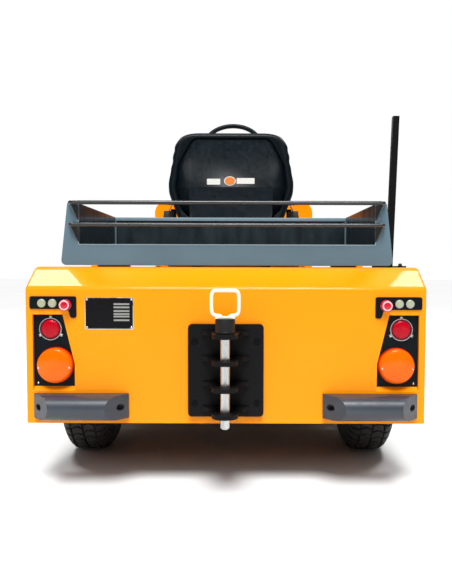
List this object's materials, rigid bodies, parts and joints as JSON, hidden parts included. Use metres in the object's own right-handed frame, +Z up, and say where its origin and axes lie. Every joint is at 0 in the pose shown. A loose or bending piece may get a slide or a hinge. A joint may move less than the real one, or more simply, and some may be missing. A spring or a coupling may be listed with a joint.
{
  "type": "airport baggage tug",
  "caption": "Electric sit-down tow tractor with a ladder hitch and drop pin behind, a load tray with rails on its deck, steered front wheels and opening battery doors.",
  "frame": {"origin": "on the ground, at the middle of the whole outline seen from above", "axes": "+Y is forward, +X is to the driver's right, +Z is up"},
  "size_m": [1.222, 2.394, 1.3926],
  "materials": {
    "orange_paint": "gloss orange paint",
    "frame_black": "satin black paint",
    "tray_paint": "satin blue-grey paint",
    "rim_paint": "silver paint",
    "battery_grey": "matt",
    "black_plastic": "grained black moulding",
    "seat_vinyl": "black grained vinyl",
    "dark_steel": "bare dark steel",
    "tyre_rubber": "matt black rubber",
    "pad_rubber": "dark grey rubber",
    "amber_lens": "gloss amber",
    "red_lens": "gloss red",
    "button_plastic": "gloss pale green and red",
    "clear_lens": "clear",
    "zinc_steel": "zinc plated"
  },
  "bodies": {
    "chassis": {"main_frame": "frame_black", "rear_body": "orange_paint", "arch_liners": "frame_black", "battery": "battery_grey", "seat_console": "orange_paint", "floor_plate": "frame_black", "nose": "orange_paint", "front_cowl": "orange_paint", "dash_panel": "black_plastic", "steering_column": "black_plastic", "pedals": "dark_steel", "seat_base": "black_plastic", "seat_cushion": "seat_vinyl", "seat_back_shell": "black_plastic", "seat_back_pad": "seat_vinyl", "rear_axle": "dark_steel", "front_axle": "dark_steel", "leaf_springs": "dark_steel", "tray": "tray_paint", "tray_rails": "tray_paint", "tray_runners": "orange_paint", "mast": "frame_black", "lamp_plates": "black_plastic", "amber_lamps": "amber_lens", "red_reflectors": "red_lens", "button_panels": "black_plastic", "push_buttons": "button_plastic", "bumper_pads": "pad_rubber", "hitch_ladder": "frame_black", "headlamps": "clear_lens", "front_bumper": "frame_black"},
    "rear_wheel_left": {"rear_tyre_left": "tyre_rubber", "rear_rim_left": "rim_paint"},
    "rear_wheel_right": {"rear_tyre_right": "tyre_rubber", "rear_rim_right": "rim_paint"},
    "knuckle_left": {"knuckle_left": "dark_steel"},
    "knuckle_right": {"knuckle_right": "dark_steel"},
    "front_wheel_left": {"front_tyre_left": "tyre_rubber", "front_rim_left": "rim_paint"},
    "front_wheel_right": {"front_tyre_right": "tyre_rubber", "front_rim_right": "rim_paint"},
    "tie_rod": {"tie_rod": "dark_steel"},
    "steering_wheel": {"steering_wheel": "black_plastic"},
    "battery_door_left": {"battery_door_left": "orange_paint"},
    "battery_door_right": {"battery_door_right": "orange_paint"},
    "tow_pin": {"tow_pin": "zinc_steel"}
  },
  "joints": [
    {"name": "rear_wheel_left_roll", "type": "hinge", "parent": "chassis", "child": "rear_wheel_left", "pos_m": [-0.495, -0.603, 0.2285], "axis": [1, 0, 0], "continuous": true},
    {"name": "rear_wheel_right_roll", "type": "hinge", "parent": "chassis", "child": "rear_wheel_right", "pos_m": [0.495, -0.603, 0.2285], "axis": [1, 0, 0], "continuous": true},
    {"name": "steer_left", "type": "hinge", "parent": "chassis", "child": "knuckle_left", "pos_m": [-0.395, 0.787, 0.2075], "axis": [0, 0, 1], "range_deg": [-35, 35]},
    {"name": "steer_right", "type": "hinge", "parent": "chassis", "child": "knuckle_right", "pos_m": [0.395, 0.787, 0.2075], "axis": [0, 0, 1], "range_deg": [-35, 35]},
    {"name": "front_wheel_left_roll", "type": "hinge", "parent": "knuckle_left", "child": "front_wheel_left", "pos_m": [-0.475, 0.787, 0.2075], "axis": [1, 0, 0], "continuous": true},
    {"name": "front_wheel_right_roll", "type": "hinge", "parent": "knuckle_right", "child": "front_wheel_right", "pos_m": [0.475, 0.787, 0.2075], "axis": [1, 0, 0], "continuous": true},
    {"name": "tie_rod_swing", "type": "hinge", "parent": "knuckle_left", "child": "tie_rod", "pos_m": [-0.395, 0.657, 0.17], "axis": [0, 0, 1], "range_deg": [-35, 35]},
    {"name": "steering_wheel_turn", "type": "hinge", "parent": "chassis", "child": "steering_wheel", "pos_m": [0, 0.237, 1.276], "axis": [0, -0.788, 0.6157], "range_deg": [-525, 525]},
    {"name": "battery_door_left_swing", "type": "hinge", "parent": "chassis", "child": "battery_door_left", "pos_m": [-0.604, -0.296, 0.427], "axis": [0, 0, 1], "range_deg": [0, 110]},
    {"name": "battery_door_right_swing", "type": "hinge", "parent": "chassis", "child": "battery_door_right", "pos_m": [0.604, -0.296, 0.427], "axis": [0, 0, -1], "range_deg": [0, 110]},
    {"name": "tow_pin_lift", "type": "slide", "parent": "chassis", "child": "tow_pin", "axis": [0, 0, 1], "range_m": [0, 0.25]}
  ],
  "couplings": [
    {"joint": "steer_right", "follows": "steer_left", "ratio": 1},
    {"joint": "tie_rod_swing", "follows": "steer_left", "ratio": -1},
    {"joint": "steering_wheel_turn", "follows": "steer_left", "ratio": 15}
  ]
}
